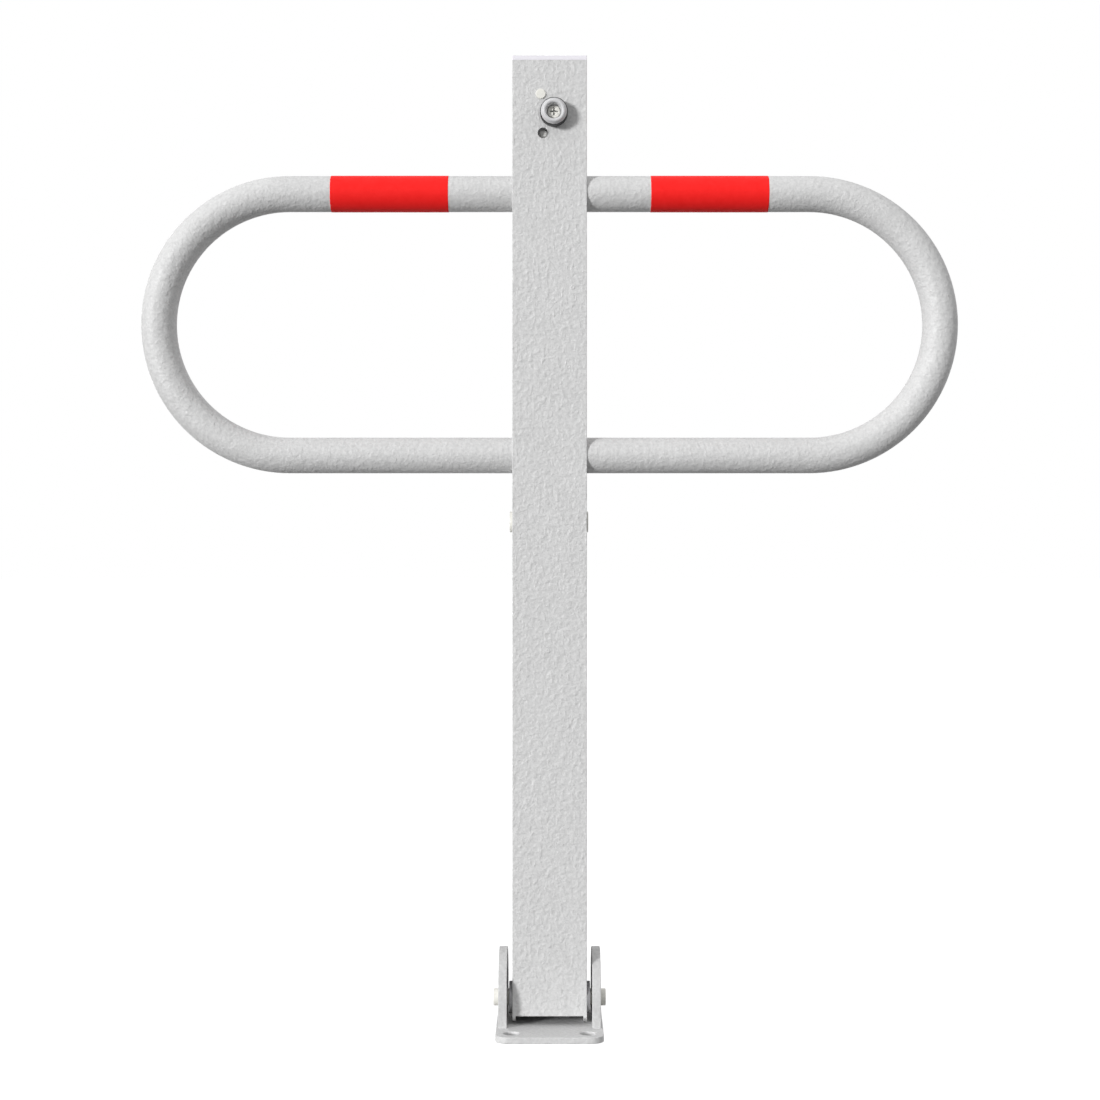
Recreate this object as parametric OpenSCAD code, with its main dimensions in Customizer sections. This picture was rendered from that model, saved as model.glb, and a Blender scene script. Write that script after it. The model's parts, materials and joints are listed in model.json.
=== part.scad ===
// Folding parking barrier: a square post that folds forward on a pivot at its foot, with two
// round tube hoops that reach out sideways and a turn-knob lock near the top.
// X runs left to right, Y away from the viewer, Z up. The origin is the middle of the base
// plate's underside. The post stands upright and its lock is released.

/* [Post] */
// Side of the square post
post_w = 70; // [60:1:80]
// Wall of the square post
post_wall = 3; // [2:0.5:4]
// Outer corner radius of the square post
post_corner = 0.5; // [0.5:0.5:4]
// Height of the post's steel above the ground
post_top = 912; // [905:1:950]
// Height at which the front wall starts
front_wall_z = 14.5; // [13:0.5:17]

/* [Base] */
// Width of the base plate
plate_w = 100; // [98:1:120]
// Depth of the base plate
plate_d = 170; // [150:1:200]
// Thickness of the base plate
plate_t = 6; // [5:1:6]
// Corner radius of the base plate
plate_corner = 12; // [6:1:14]
// Diameter of the anchor holes
anchor_d = 15; // [12:1:16]
// Distance between anchor holes, left to right
anchor_dx = 71; // [66:1:74]
// Distance between anchor holes, front to back
anchor_dy = 136; // [126:1:144]

/* [Ears and pivot] */
// Clear width between the two ears
ear_gap = 80; // [79:0.5:82]
// Thickness of an ear
ear_t = 8; // [6:1:9]
// Radius of an ear's round top, half its depth
ear_r = 48; // [44:1:52]
// Height of the centre of the ear's round top
ear_centre_z = 25; // [20:1:30]
// Diameter of the pivot axle
axle_d = 16; // [14:1:18]
// How far the axle stands out past each ear
axle_out = 5; // [3:0.5:8]
// Place of the axle in front of the post's middle
axle_y = -20; // [-21:0.5:-19]
// Height of the axle
axle_z = 29.5; // [29.5:0.5:31]
// Outer diameter of the bush that turns on the axle
bush_d = 22; // [20:1:24]
// Diameter of the washers beside the post
washer_d = 30; // [26:1:34]

/* [Hoops] */
// Outer diameter of the hoop tube
hoop_d = 33.7; // [30:0.1:36]
// Wall of the hoop tube
hoop_wall = 2.6; // [2:0.1:3.2]
// Height of the lower run's centreline
hoop_low_z = 541.5; // [520:0.5:560]
// Height of the upper run's centreline
hoop_high_z = 789; // [775:0.5:800]
// Distance from the post's middle to the start of the bend
hoop_straight_x = 246; // [225:1:280]
// Place of the hoops in front of the post's middle
hoop_y = -17; // [-18:0.5:-10]
// Start of the red band, from the post's middle
band_start_x = 95.5; // [60:0.5:100]
// Width of the red band
band_w = 111; // [80:1:120]
// Thickness of the red film
band_t = 0.3; // [0.2:0.05:0.6]

/* [Lock] */
// Diameter of the lock knob
knob_d = 26; // [24:0.5:27]
// How far the knob stands out from the post
knob_out = 14; // [12:0.5:14]
// Place of the knob to the right of the post's middle
knob_x = 4; // [3:0.5:5]
// Height of the knob's centre
knob_z = 862; // [861:0.5:863]
// Turn of the knob from released to locked, in degrees
knob_turn = 116.6; // [110:0.1:118]
// Distance of the lift pin from the knob's axis
crank_r = 12; // [11:0.5:12]
// Diameter of the stop pin
stop_d = 9.4; // [8:0.2:10]
// Diameter of the lock bolt
bolt_d = 16; // [14:1:16]
// Place of the lock bolt behind the post's middle
bolt_y = 12; // [11:0.5:13]
// Height of the pin through the post
cross_z = 479; // [470:1:490]
// Diameter of the pin through the post
cross_d = 14; // [12:1:14]

/* [Hidden] */
$fn = 64;
eps = 0.5;

// Running clearance on the radius of a shaft that turns, and of a slide
run_gap = 0.05;
slide_gap = 0.5;

post_half = post_w / 2;
post_in = post_w - 2 * post_wall;
in_half = post_in / 2;
in_corner = 1;

// Foot: the side walls end in an arc round the axle, and the heel behind it stands on the plate
foot_gap = 1;
foot_r = axle_z - plate_t - foot_gap;
heel_y = 20;

// Washers fill the gap beside the post, apart from the part where the axle shows
washer_t = 3;
washer_gap = 0.1;

// Cap
cap_lip = 4;
cap_chamfer = 0.4;
cap_plug_h = 15;
cap_plug_wall = 2.5;
cap_fit = 0.1;

// Lock bolt, its guides and its keeper
bolt_lift = crank_r * 2 * sin(knob_turn / 2);
keeper_w = 40;
keeper_d = 30;
keeper_h = 20;
keeper_hole_d = bolt_d + 2;
bolt_tip_z = plate_t + keeper_h + 1.5;
bolt_tip_chamfer = 3;
guide_hole_d = bolt_d + 2 * slide_gap;
guide_t = 5;
guide_low_z = 45;
guide_high_z = 125;
collar_d = 26;
collar_t = 6;
collar_z = 74;
spring_wire = 3;
spring_mean_r = 10.7;
spring_turns = 5;
spring_steps = 16;
spring_sides = 8;

// Flat bar from the bolt up to the yoke
bar_t = 6;
bar_w = 30;
bar_bottom_z = 200;
bar_top_z = 830;
bar_front_y = bolt_y - bar_w / 2;
cross_slot_w = cross_d + 2 * slide_gap;
cross_slot_low = cross_z - cross_d / 2 - 1.5;
cross_slot_high = cross_z + cross_d / 2 + bolt_lift + 1;

// Pin through the post
cross_head_d = 20;
cross_head_left = 3.3;
cross_head_right = 2;
cross_stub_d = 8;
sleeve_d = 20;
sleeve_start_x = 4;

// Yoke on the bar's top end
yoke_t = 5;
yoke_tongue_w = 20;
yoke_tongue_low = bar_top_z - 30;
yoke_left_x = -10;
yoke_right_x = 27;
yoke_half_h = 12;
pin_rest_angle = knob_turn / 2;
lift_pin_d = 8;
lift_pin_x = knob_x + crank_r * cos(pin_rest_angle);
lift_pin_z = knob_z + crank_r * sin(pin_rest_angle);
yoke_slot_h = lift_pin_d + 2;
yoke_slot_left = lift_pin_x - 0.3;
yoke_slot_right = knob_x + crank_r + 0.3;

// Crank, from the post's face backwards
face_y = -post_half;
knob_gap = 0.3;
knob_bore_d = 12.6;
knob_bore_depth = 9;
knob_web = 2;
knob_sleeve_step = 0.7;
knob_sleeve_wall = 2;
knob_sleeve_l = 10.2;
knob_cup_r = knob_d / 2 - knob_sleeve_step;
knob_skirt_r = knob_d / 2 - knob_sleeve_wall;
knob_rim_r = (knob_cup_r - knob_bore_d / 2) / 2;
spindle_d = 12;
spindle_bush_d = 16;
bearing_t = 5;
bearing_front_y = face_y + post_wall;
bearing_back_y = bearing_front_y + bearing_t;
crank_front_y = bearing_back_y + 1;
crank_t = 6;
crank_back_y = crank_front_y + crank_t;
crank_disc_r = 20;
notch_r = 16.5;
screw_d = 5;
screw_head_d = 11.8;
screw_head_h = 3;
screw_dome_h = 1.2;
screw_len = 12;

// Stop pin and spare stop hole, from the knob's axis
stop_x = -8.35;
stop_z = 880;
stop_out = 1.2;
spare_x = -6.2;
spare_z = 843.5;
spare_d = 10;
spare_plug_t = 3.2;
spare_plug_edge = 0.6;
bearing_w = 52;
bearing_low_z = 832;
bearing_high_z = 892;

// Angle that the stop pin takes up in the crank's notch, seen from the crank's axis
stop_dx = stop_x - knob_x;
stop_dz = stop_z - knob_z;
stop_r = sqrt(stop_dx * stop_dx + stop_dz * stop_dz);
stop_angle = atan2(stop_dz, stop_dx);
stop_half_angle = asin((stop_d / 2 + run_gap) / stop_r);
notch_start = stop_angle - stop_half_angle;
notch_end = stop_angle + stop_half_angle + knob_turn;

// Colours
zinc = "gainsboro";
bright_zinc = "ivory";
steel = "silver";
dark_steel = "slategray";

// A rectangle with round corners, centred
module round_rect(w, d, r) {
    square([w - 2 * r, d], center = true);
    square([w, d - 2 * r], center = true);
    for (sx = [-1, 1], sy = [-1, 1])
        translate([sx * (w / 2 - r), sy * (d / 2 - r)]) circle(r);
}

// Turns a flat shape drawn in Y and Z into a slab that runs from x0 to x1
module side_slab(x0, x1) {
    translate([x0, 0, 0]) rotate([90, 0, 90]) linear_extrude(x1 - x0) children();
}

// Turns a flat shape drawn in X and Z into a slab that runs from y0 back to y1
module front_slab(y0, y1) {
    translate([0, y1, 0]) rotate([90, 0, 0]) linear_extrude(y1 - y0) children();
}

// A round bar along X
module bar_x(x0, x1, d) {
    translate([x0, 0, 0]) rotate([0, 90, 0]) cylinder(d = d, h = x1 - x0);
}

// A round bar along Y at a place on the front
module bar_y(y0, y1, d, x, z) {
    translate([x, y1, z]) rotate([90, 0, 0]) cylinder(d = d, h = y1 - y0);
}

// Base plate with its anchor holes
module base_plate() {
    color(zinc) linear_extrude(plate_t) difference() {
        round_rect(plate_w, plate_d, plate_corner);
        for (sx = [-1, 1], sy = [-1, 1])
            translate([sx * anchor_dx / 2, sy * anchor_dy / 2]) circle(d = anchor_d);
    }
}

// Outline of an ear: a foot as wide as its round top, and the hole for the axle
module ear_outline() {
    difference() {
        union() {
            translate([-ear_r, plate_t]) square([2 * ear_r, ear_centre_z - plate_t]);
            intersection() {
                translate([0, ear_centre_z]) circle(ear_r, $fn = 128);
                translate([-ear_r, plate_t]) square([2 * ear_r, ear_centre_z + ear_r]);
            }
        }
        translate([axle_y, axle_z]) circle(d = axle_d + 2 * run_gap);
    }
}

// One ear, side -1 for left and 1 for right
module ear(side) {
    x_in = side * ear_gap / 2;
    x_out = side * (ear_gap / 2 + ear_t);
    color(zinc) side_slab(min(x_in, x_out), max(x_in, x_out)) ear_outline();
}

module ear_left() { ear(-1); }
module ear_right() { ear(1); }

// Plain axle with a small chamfer at each end
module pivot_axle() {
    half = ear_gap / 2 + ear_t + axle_out;
    r = axle_d / 2;
    chamfer = 0.8;
    color(bright_zinc) translate([0, axle_y, axle_z]) rotate([0, 90, 0]) rotate_extrude()
        polygon([
            [0, -half], [r - chamfer, -half], [r, -half + chamfer],
            [r, half - chamfer], [r - chamfer, half], [0, half]
        ]);
}

// Washer on the axle, side -1 for left and 1 for right
module washer(side) {
    x_in = side * (post_half + washer_gap);
    x_out = side * (post_half + washer_gap + washer_t);
    color(steel) translate([0, axle_y, axle_z]) difference() {
        bar_x(min(x_in, x_out), max(x_in, x_out), washer_d);
        bar_x(min(x_in, x_out) - eps, max(x_in, x_out) + eps, axle_d + 2 * run_gap);
    }
}

module washer_left() { washer(-1); }
module washer_right() { washer(1); }

// Block on the plate that the lock bolt drops into
module keeper_block() {
    lead_in = 2;
    color(dark_steel) translate([0, bolt_y, plate_t]) difference() {
        translate([-keeper_w / 2, -keeper_d / 2, 0]) cube([keeper_w, keeper_d, keeper_h]);
        translate([0, 0, -eps]) cylinder(d = keeper_hole_d, h = keeper_h + 2 * eps);
        translate([0, 0, keeper_h - lead_in])
            cylinder(d1 = keeper_hole_d, d2 = keeper_hole_d + 2 * lead_in, h = lead_in);
    }
}

// Side view of the post: straight sides, the arc round the axle, and the heel behind it
module post_side() {
    translate([-post_half, axle_z]) square([post_w, post_top - axle_z]);
    intersection() {
        translate([axle_y, axle_z]) circle(foot_r);
        translate([-post_half, 0]) square([post_w, axle_z + eps]);
    }
    translate([axle_y, plate_t + foot_gap])
        square([post_half - axle_y, axle_z - plate_t - foot_gap + eps]);
    translate([heel_y, plate_t]) square([post_half - heel_y, 2 * foot_gap]);
}

// Square tube with the foot cut round the axle and the holes of the lock
module post_tube() {
    color(zinc) difference() {
        intersection() {
            linear_extrude(post_top) round_rect(post_w, post_w, post_corner);
            side_slab(-post_half, post_half) post_side();
        }
        translate([0, 0, -eps]) linear_extrude(post_top + 2 * eps)
            round_rect(post_in, post_in, in_corner);
        translate([-in_half, -post_half - eps, 0])
            cube([post_in, post_wall + 2 * eps, front_wall_z]);
        translate([0, axle_y, axle_z]) bar_x(-post_half - eps, post_half + eps, bush_d);
        translate([0, bolt_y, cross_z]) bar_x(-post_half - eps, post_half + eps, cross_d);
        bar_y(face_y - eps, face_y + post_wall + eps, spindle_bush_d, knob_x, knob_z);
        bar_y(face_y - eps, face_y + post_wall + eps, stop_d, stop_x, stop_z);
        bar_y(face_y - eps, face_y + post_wall + eps, spare_d, spare_x, spare_z);
    }
}

// Bush welded across the post's foot
module pivot_bush() {
    color(steel) translate([0, axle_y, axle_z]) difference() {
        bar_x(-post_half, post_half, bush_d);
        bar_x(-post_half - eps, post_half + eps, axle_d + 2 * run_gap);
    }
}

// Body of one hoop to the right: two straight runs and a half-round bend
module hoop_body(d, start_x) {
    bend_r = (hoop_high_z - hoop_low_z) / 2;
    for (z = [hoop_low_z, hoop_high_z])
        translate([0, hoop_y, z]) bar_x(start_x, hoop_straight_x, d);
    translate([hoop_straight_x, hoop_y, hoop_low_z + bend_r]) rotate([90, 0, 0])
        rotate([0, 0, -90]) rotate_extrude(angle = 180) translate([bend_r, 0]) circle(d = d);
}

// Bent tube of one side, hollow right through
module hoop_right() {
    color(zinc) difference() {
        hoop_body(hoop_d, post_half);
        hoop_body(hoop_d - 2 * hoop_wall, post_half - eps);
    }
}

module hoop_left() { mirror([1, 0, 0]) hoop_right(); }

// Red film round the upper run
module band_right() {
    color("red") translate([0, hoop_y, hoop_high_z]) difference() {
        bar_x(band_start_x, band_start_x + band_w, hoop_d + 2 * band_t);
        bar_x(band_start_x - eps, band_start_x + band_w + eps, hoop_d);
    }
}

module band_left() { mirror([1, 0, 0]) band_right(); }

// Cap with a lip as wide as the post and a hollow plug inside it
module end_cap() {
    plug_w = post_in - 2 * cap_fit;
    color("lavender") {
        difference() {
            union() {
                translate([0, 0, post_top]) linear_extrude(cap_lip - cap_chamfer)
                    round_rect(post_w, post_w, post_corner);
                translate([0, 0, post_top - cap_plug_h]) linear_extrude(cap_plug_h)
                    round_rect(plug_w, plug_w, in_corner);
            }
            translate([0, 0, post_top - cap_plug_h - eps]) linear_extrude(cap_plug_h + eps)
                square(plug_w - 2 * cap_plug_wall, center = true);
        }
        translate([0, 0, post_top + cap_lip - cap_chamfer]) hull() {
            linear_extrude(0.01) round_rect(post_w, post_w, post_corner, $fn = 32);
            translate([0, 0, cap_chamfer - 0.01]) linear_extrude(0.01)
                round_rect(post_w - 2 * cap_chamfer, post_w - 2 * cap_chamfer,
                    post_corner - cap_chamfer, $fn = 32);
        }
    }
}

// Plate welded inside the post that guides the bolt
module guide_plate(z) {
    color(steel) translate([0, 0, z]) linear_extrude(guide_t) difference() {
        round_rect(post_in, post_in, in_corner);
        translate([0, bolt_y]) circle(d = guide_hole_d);
    }
}

module guide_plate_lower() { guide_plate(guide_low_z); }
module guide_plate_upper() { guide_plate(guide_high_z); }

// Pin right through the post, with its head on the left and a thin end for the clip
module cross_pin() {
    color(bright_zinc) translate([0, bolt_y, cross_z]) {
        bar_x(-post_half - cross_head_left, -post_half, cross_head_d);
        bar_x(-post_half, post_half, cross_d);
        bar_x(post_half, post_half + cross_head_right, cross_stub_d);
    }
}

// Pressed-on clip on the pin's right end
module pin_clip() {
    color(bright_zinc) translate([0, bolt_y, cross_z]) difference() {
        bar_x(post_half, post_half + cross_head_right, cross_head_d);
        bar_x(post_half - eps, post_half + cross_head_right + eps, cross_stub_d);
    }
}

// Spacer tube on the pin that keeps the bar in the middle
module pin_sleeve_right() {
    color(steel) translate([0, bolt_y, cross_z]) difference() {
        bar_x(sleeve_start_x, in_half, sleeve_d);
        bar_x(sleeve_start_x - eps, in_half + eps, cross_d);
    }
}

module pin_sleeve_left() { mirror([1, 0, 0]) pin_sleeve_right(); }

// Doubler behind the front wall, with the holes of the spindle, the stop pin and the spare stop
module bearing_plate() {
    color(steel) difference() {
        translate([knob_x - bearing_w / 2, bearing_front_y, bearing_low_z])
            cube([bearing_w, bearing_t, bearing_high_z - bearing_low_z]);
        bar_y(bearing_front_y - eps, bearing_back_y + eps, spindle_bush_d, knob_x, knob_z);
        bar_y(bearing_front_y - eps, bearing_back_y + eps, stop_d, stop_x, stop_z);
        bar_y(bearing_front_y - eps, bearing_back_y + eps, spare_d, spare_x, spare_z);
    }
}

// Domed plug that blanks the spare stop's hole, pressed into the doubler
module spare_plug() {
    rise = spare_plug_t - spare_plug_edge;
    dome_r = (spare_d * spare_d / 4 + rise * rise) / (2 * rise);
    color(bright_zinc) translate([spare_x, bearing_back_y, spare_z]) rotate([90, 0, 0])
        intersection() {
            translate([0, 0, spare_plug_t - dome_r]) sphere(dome_r);
            cylinder(d = spare_d, h = spare_plug_t);
        }
}

// Bush that carries the spindle
module spindle_bush() {
    color("darkgoldenrod") difference() {
        bar_y(face_y, bearing_back_y, spindle_bush_d, knob_x, knob_z);
        bar_y(face_y - eps, bearing_back_y + eps, spindle_d + 2 * run_gap, knob_x, knob_z);
    }
}

// Pin in the front wall that ends the crank's turn
module stop_pin() {
    color(bright_zinc) bar_y(face_y - stop_out, crank_back_y, stop_d, stop_x, stop_z);
}

// Half section of the knob's cup: a round rim, a skirt for the sleeve, a web, and a hub behind it
module knob_section() {
    r_in = knob_bore_d / 2;
    rim_z = knob_out - knob_gap - knob_rim_r;
    web_top = knob_out - knob_gap - knob_bore_depth;
    translate([spindle_d / 2, 0]) square([knob_skirt_r - spindle_d / 2, web_top]);
    translate([screw_d / 2, web_top - knob_web]) square([knob_skirt_r - screw_d / 2, knob_web]);
    translate([r_in, web_top - eps]) square([knob_skirt_r - r_in, rim_z - web_top + eps]);
    translate([r_in, knob_sleeve_l]) square([knob_cup_r - r_in, rim_z - knob_sleeve_l]);
    translate([r_in + knob_rim_r, rim_z]) intersection() {
        circle(knob_rim_r);
        translate([-knob_rim_r, 0]) square(2 * knob_rim_r);
    }
}

// Metal cup of the lock knob on the post's face
module knob() {
    color(zinc) translate([knob_x, face_y - knob_gap, knob_z]) rotate([90, 0, 0])
        rotate_extrude() knob_section();
}

// Black grip sleeve pressed on the cup's skirt
module knob_sleeve() {
    color("black") difference() {
        bar_y(face_y - knob_gap - knob_sleeve_l, face_y - knob_gap, knob_d, knob_x, knob_z);
        bar_y(face_y - knob_gap - knob_sleeve_l - eps, face_y - knob_gap + eps,
            2 * knob_skirt_r, knob_x, knob_z);
    }
}

// Pan-head screw with a cross recess, inside the knob
module knob_screw() {
    seat_y = face_y - knob_out + knob_bore_depth;
    dome_r = (screw_head_d * screw_head_d / 4 + screw_dome_h * screw_dome_h) / (2 * screw_dome_h);
    recess_w = 1;
    recess_l = 6.4;
    recess_h = 1.5;
    color(bright_zinc) translate([knob_x, seat_y, knob_z]) rotate([90, 0, 0]) {
        difference() {
            intersection() {
                translate([0, 0, screw_head_h - dome_r]) sphere(dome_r);
                cylinder(d = screw_head_d, h = screw_head_h);
            }
            for (turn = [0, 90]) rotate([0, 0, turn])
                translate([-recess_l / 2, -recess_w / 2, screw_head_h - recess_h])
                    cube([recess_l, recess_w, recess_h + eps]);
        }
        translate([0, 0, -screw_len]) cylinder(d = screw_d, h = screw_len);
    }
}

// Shaft from the knob to the crank, tapped for the screw
module spindle() {
    front_y = face_y - knob_out + knob_bore_depth + knob_web;
    screw_end_y = face_y - knob_out + knob_bore_depth + screw_len;
    color(steel) difference() {
        bar_y(front_y, crank_front_y, spindle_d, knob_x, knob_z);
        bar_y(front_y - eps, screw_end_y, screw_d, knob_x, knob_z);
    }
}

// Crank disc with the notch that the stop pin stands in
module crank_disc() {
    reach = 2 * crank_disc_r;
    color(dark_steel) translate([knob_x, 0, knob_z]) front_slab(crank_front_y, crank_back_y)
        difference() {
            circle(crank_disc_r);
            difference() {
                polygon([
                    [0, 0],
                    for (k = [0:4]) let (a = notch_start + k * (notch_end - notch_start) / 4)
                        [reach * cos(a), reach * sin(a)]
                ]);
                circle(notch_r);
            }
        }
}

// Pin on the crank disc that works in the yoke's slot
module lift_pin() {
    color(steel)
        bar_y(crank_back_y, bar_front_y + yoke_t + 1, lift_pin_d, lift_pin_x, lift_pin_z);
}

// Flat bar with a slot for the pin through the post and a step for the yoke
module locking_bar() {
    slot_r = cross_slot_w / 2;
    color(steel) difference() {
        translate([-bar_t / 2, bar_front_y, bar_bottom_z])
            cube([bar_t, bar_w, bar_top_z - bar_bottom_z]);
        side_slab(-bar_t / 2 - eps, bar_t / 2 + eps) {
            translate([bolt_y - slot_r, cross_slot_low + slot_r])
                square([cross_slot_w, cross_slot_high - cross_slot_low - cross_slot_w]);
            for (z = [cross_slot_low + slot_r, cross_slot_high - slot_r])
                translate([bolt_y, z]) circle(slot_r);
        }
        translate([-bar_t, bar_front_y - eps, yoke_tongue_low])
            cube([2 * bar_t, yoke_t + eps, bar_top_z - yoke_tongue_low + eps]);
    }
}

// Round bolt with a tapered tip, welded to the bar's lower end
module lock_bolt() {
    r = bolt_d / 2;
    color(bright_zinc) translate([0, bolt_y, 0]) rotate_extrude()
        polygon([
            [0, bolt_tip_z], [r - bolt_tip_chamfer, bolt_tip_z],
            [r, bolt_tip_z + bolt_tip_chamfer], [r, bar_bottom_z], [0, bar_bottom_z]
        ]);
}

// Collar on the bolt that the spring pushes down
module spring_collar() {
    color(steel) translate([0, bolt_y, collar_z]) difference() {
        cylinder(d = collar_d, h = collar_t);
        translate([0, 0, -eps]) cylinder(d = bolt_d, h = collar_t + 2 * eps);
    }
}

// One ring of the spring's wire at a turn angle
function spring_ring(turn, z) = [
    for (k = [0:spring_sides - 1]) let (
        a = 360 * k / spring_sides,
        r = spring_mean_r + spring_wire / 2 * cos(a)
    ) [r * cos(turn), r * sin(turn), z + spring_wire / 2 * sin(a)]
];

// Compression spring between the collar and the upper guide plate
module return_spring() {
    low = collar_z + collar_t + spring_wire / 2;
    high = guide_high_z - spring_wire / 2;
    count = spring_turns * spring_steps;
    points = [
        for (i = [0:count]) each spring_ring(360 * i / spring_steps, low + (high - low) * i / count)
    ];
    side_faces = [
        for (i = [0:count - 1], k = [0:spring_sides - 1]) let (
            a = i * spring_sides + k,
            b = i * spring_sides + (k + 1) % spring_sides
        ) [a, a + spring_sides, b + spring_sides, b]
    ];
    first_face = [for (k = [0:spring_sides - 1]) k];
    last_face = [for (k = [spring_sides - 1:-1:0]) count * spring_sides + k];
    color(bright_zinc) translate([0, bolt_y, 0])
        polyhedron(points, concat([first_face], side_faces, [last_face]));
}

// Plate with the slot that the lift pin works in, stepped into the bar's top end
module yoke_plate() {
    slot_r = yoke_slot_h / 2;
    slot_x0 = yoke_slot_left - lift_pin_d / 2 + slot_r;
    slot_x1 = yoke_slot_right + lift_pin_d / 2 - slot_r;
    color(dark_steel) front_slab(bar_front_y, bar_front_y + yoke_t) difference() {
        union() {
            translate([-yoke_tongue_w / 2, yoke_tongue_low])
                square([yoke_tongue_w, lift_pin_z - yoke_tongue_low]);
            translate([yoke_left_x, lift_pin_z - yoke_half_h])
                square([yoke_right_x - yoke_left_x, 2 * yoke_half_h]);
        }
        translate([slot_x0, lift_pin_z - slot_r]) square([slot_x1 - slot_x0, yoke_slot_h]);
        for (x = [slot_x0, slot_x1]) translate([x, lift_pin_z]) circle(slot_r);
    }
}

base_plate();
ear_left();
ear_right();
pivot_axle();
washer_left();
washer_right();
keeper_block();
post_tube();
pivot_bush();
hoop_left();
hoop_right();
band_left();
band_right();
end_cap();
guide_plate_lower();
guide_plate_upper();
cross_pin();
pin_clip();
pin_sleeve_left();
pin_sleeve_right();
bearing_plate();
spindle_bush();
stop_pin();
spare_plug();
knob();
knob_sleeve();
knob_screw();
spindle();
crank_disc();
lift_pin();
locking_bar();
lock_bolt();
spring_collar();
return_spring();
yoke_plate();
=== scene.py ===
"""Looks of a folding parking barrier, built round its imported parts.

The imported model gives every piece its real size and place. This script makes the pieces that show as
fine surfaces with eased edges, gives each piece its finish, and sets up the camera, the floor and the light.
All lengths are in metres: X to the right, Y away from the camera, Z up.
"""

import json
import logging
import math
from dataclasses import dataclass
from enum import Enum

import bmesh
import bpy
import numpy as np
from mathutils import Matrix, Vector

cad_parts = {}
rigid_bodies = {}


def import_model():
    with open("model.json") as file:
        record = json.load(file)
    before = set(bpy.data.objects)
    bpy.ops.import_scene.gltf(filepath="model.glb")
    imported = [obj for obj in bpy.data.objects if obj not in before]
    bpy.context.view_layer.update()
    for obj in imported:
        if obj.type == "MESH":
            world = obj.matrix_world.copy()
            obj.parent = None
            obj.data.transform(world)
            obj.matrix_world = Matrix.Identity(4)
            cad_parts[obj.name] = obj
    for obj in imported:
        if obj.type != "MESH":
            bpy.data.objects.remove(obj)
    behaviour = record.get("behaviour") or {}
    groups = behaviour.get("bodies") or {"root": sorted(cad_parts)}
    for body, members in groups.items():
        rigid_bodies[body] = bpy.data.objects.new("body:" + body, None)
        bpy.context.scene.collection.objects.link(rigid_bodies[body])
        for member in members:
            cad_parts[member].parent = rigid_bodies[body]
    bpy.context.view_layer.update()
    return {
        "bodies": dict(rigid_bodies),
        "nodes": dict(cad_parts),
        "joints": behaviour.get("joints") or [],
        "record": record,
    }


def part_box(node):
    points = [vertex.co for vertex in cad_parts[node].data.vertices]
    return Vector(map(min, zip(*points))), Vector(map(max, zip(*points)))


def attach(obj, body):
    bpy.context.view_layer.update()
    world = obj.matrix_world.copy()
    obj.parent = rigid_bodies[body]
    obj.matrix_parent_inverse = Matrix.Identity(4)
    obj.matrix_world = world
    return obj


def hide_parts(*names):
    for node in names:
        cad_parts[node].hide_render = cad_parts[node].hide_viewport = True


LOG = logging.getLogger("barrier")
MM = 0.001
ROUND_STEPS = 72

Colour = tuple[float, float, float]
Piece = bpy.types.Object
Socket = bpy.types.NodeSocket


class Side(Enum):
    """Which side of the post a piece is on, as the sign of its X."""

    LEFT = -1
    RIGHT = 1

    @property
    def word(self) -> str:
        """The word that node names end in."""
        return self.name.lower()


class Along(Enum):
    """The direction that a turned piece's axis points in."""

    RIGHT = (1, 0, 0)
    FRONT = (0, -1, 0)
    UP = (0, 0, 1)

    @property
    def basis(self) -> np.ndarray:
        """Works out a set of directions with this axis as the last.

        Returns:
            Three rows: two directions across the axis, and the axis itself.
        """
        axis = np.array(self.value, float)
        across = np.array((0, 0, 1.0)) if self is not Along.UP else np.array((1.0, 0, 0))
        return np.array([across, np.cross(axis, across), axis])


class Pattern(Enum):
    """What a skin pattern is laid along: the object's own axes, or the run of a bent tube."""

    OBJECT = "object"
    RUN = "run_place"


# Shader groups


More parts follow.
